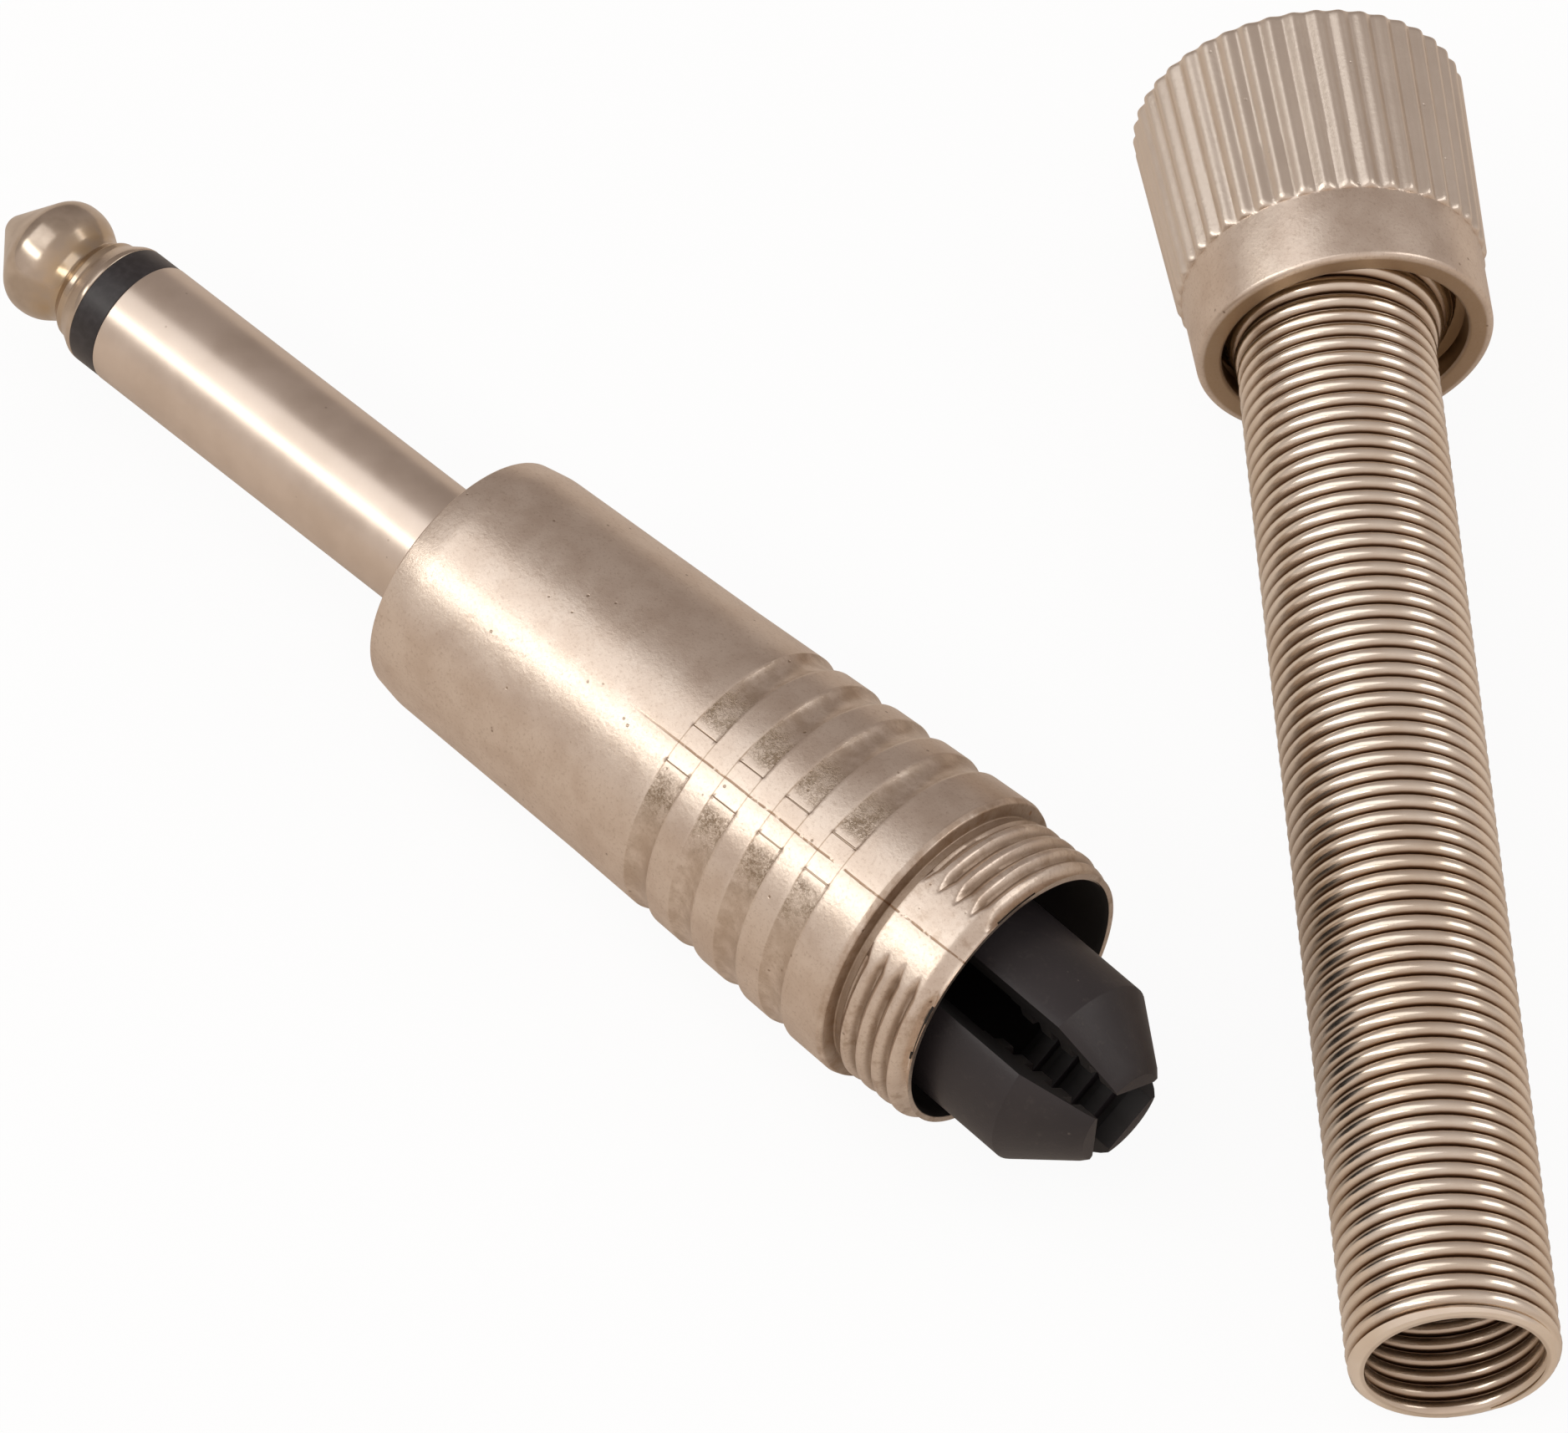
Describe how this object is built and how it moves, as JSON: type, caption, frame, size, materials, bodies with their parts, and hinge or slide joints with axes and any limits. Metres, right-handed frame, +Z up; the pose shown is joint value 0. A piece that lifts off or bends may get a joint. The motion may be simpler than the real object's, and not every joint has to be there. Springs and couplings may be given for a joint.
{
  "type": "mono jack plug",
  "caption": "Mono jack plug taken apart: nickel-plated finger and flared shell with a black jawed cable chuck, and the ribbed nut lying beside it with a close-wound cable spring.",
  "frame": {"origin": "on the plug's axis at the shell's front face, the shoulder that meets the socket", "axes": "-X towards the plug's tip, +X towards its cable end, +Z up from the surface that the pieces lie on"},
  "size_m": [0.0941, 0.062, 0.0162],
  "materials": {
    "satin_nickel": "satin nickel plate over a die casting",
    "bright_nickel": "bright nickel plate over turned brass",
    "spring_wire": "polished wire",
    "black_insulator": "satin black",
    "chuck_plastic": "matt moulded",
    "brass_rod": "turned",
    "tinned_lug": "tinned"
  },
  "bodies": {
    "plug_body": {"tip_contact": "bright_nickel", "centre_rod": "brass_rod", "tip_insulator": "black_insulator", "rod_insulator": "black_insulator", "sleeve_contact": "bright_nickel", "rear_insulator": "black_insulator", "sleeve_terminal": "tinned_lug", "tip_terminal": "tinned_lug", "shell": "satin_nickel", "nut": "satin_nickel"},
    "chuck": {"chuck": "chuck_plastic"},
    "spring": {"spring": "spring_wire"}
  },
  "joints": [
    {"name": "chuck_slide", "type": "slide", "parent": "plug_body", "child": "chuck", "axis": [0.9994, 0, 0.034], "range_m": [0, 0.008]},
    {"name": "spring_slide", "type": "slide", "parent": "plug_body", "child": "spring", "axis": [-0.7361, 0.6757, 0.039], "range_m": [0, 0.05]}
  ]
}
